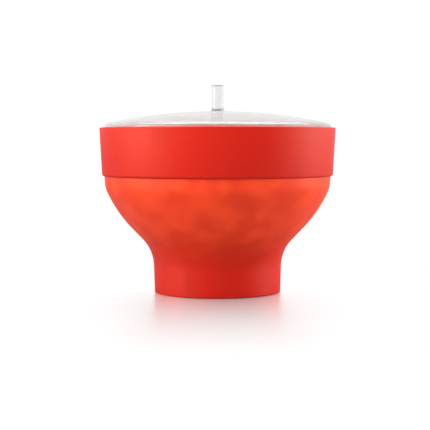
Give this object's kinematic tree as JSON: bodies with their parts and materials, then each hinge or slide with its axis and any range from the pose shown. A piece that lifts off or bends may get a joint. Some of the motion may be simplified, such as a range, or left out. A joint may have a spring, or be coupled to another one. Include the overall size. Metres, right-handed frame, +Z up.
{
  "type": "collapsible popcorn maker",
  "caption": "Round collapsible silicone microwave popcorn bowl with a narrow foot, a flared body and a tall rim band, closed by a clear shallow-domed lid with a peg pull.",
  "frame": {"origin": "centre of the foot's underside, on the plane that the foot stands on", "axes": "+Z up along the bowl's axis; the bowl is round, so +X and +Y are free, and -Y is taken as the front"},
  "size_m": [0.2, 0.2, 0.1756],
  "materials": {
    "red_silicone": "satin opaque red silicone",
    "red_silicone_thin": "satin red silicone, thin and slightly translucent",
    "clear_lid": "clear moulded plastic, faintly milky",
    "clear_pull": "clear solid plastic, glossy"
  },
  "bodies": {
    "base": {"foot_cup": "red_silicone", "neck_bend": "red_silicone_thin"},
    "lower_ring": {"lower_fold_ring": "red_silicone_thin"},
    "middle_ring": {"middle_fold_ring": "red_silicone_thin"},
    "upper_ring": {"upper_fold_ring": "red_silicone_thin"},
    "rim": {"shoulder_bend": "red_silicone_thin", "rim_band": "red_silicone"},
    "lid": {"lid_dome": "clear_lid", "lid_pull": "clear_pull"}
  },
  "joints": [
    {"name": "collapse", "type": "slide", "parent": "base", "child": "rim", "axis": [0, 0, -1], "range_m": [0, 0.066]},
    {"name": "lower_fold", "type": "slide", "parent": "base", "child": "lower_ring", "axis": [0, 0, -1], "range_m": [0, 0.0165]},
    {"name": "middle_fold", "type": "slide", "parent": "base", "child": "middle_ring", "axis": [0, 0, -1], "range_m": [0, 0.033]},
    {"name": "upper_fold", "type": "slide", "parent": "base", "child": "upper_ring", "axis": [0, 0, -1], "range_m": [0, 0.0495]},
    {"name": "lid_lift", "type": "slide", "parent": "rim", "child": "lid", "axis": [0, 0, 1], "range_m": [0, 0.09]}
  ],
  "couplings": [
    {"joint": "lower_fold", "follows": "collapse", "ratio": 0.25},
    {"joint": "middle_fold", "follows": "collapse", "ratio": 0.5},
    {"joint": "upper_fold", "follows": "collapse", "ratio": 0.75}
  ]
}
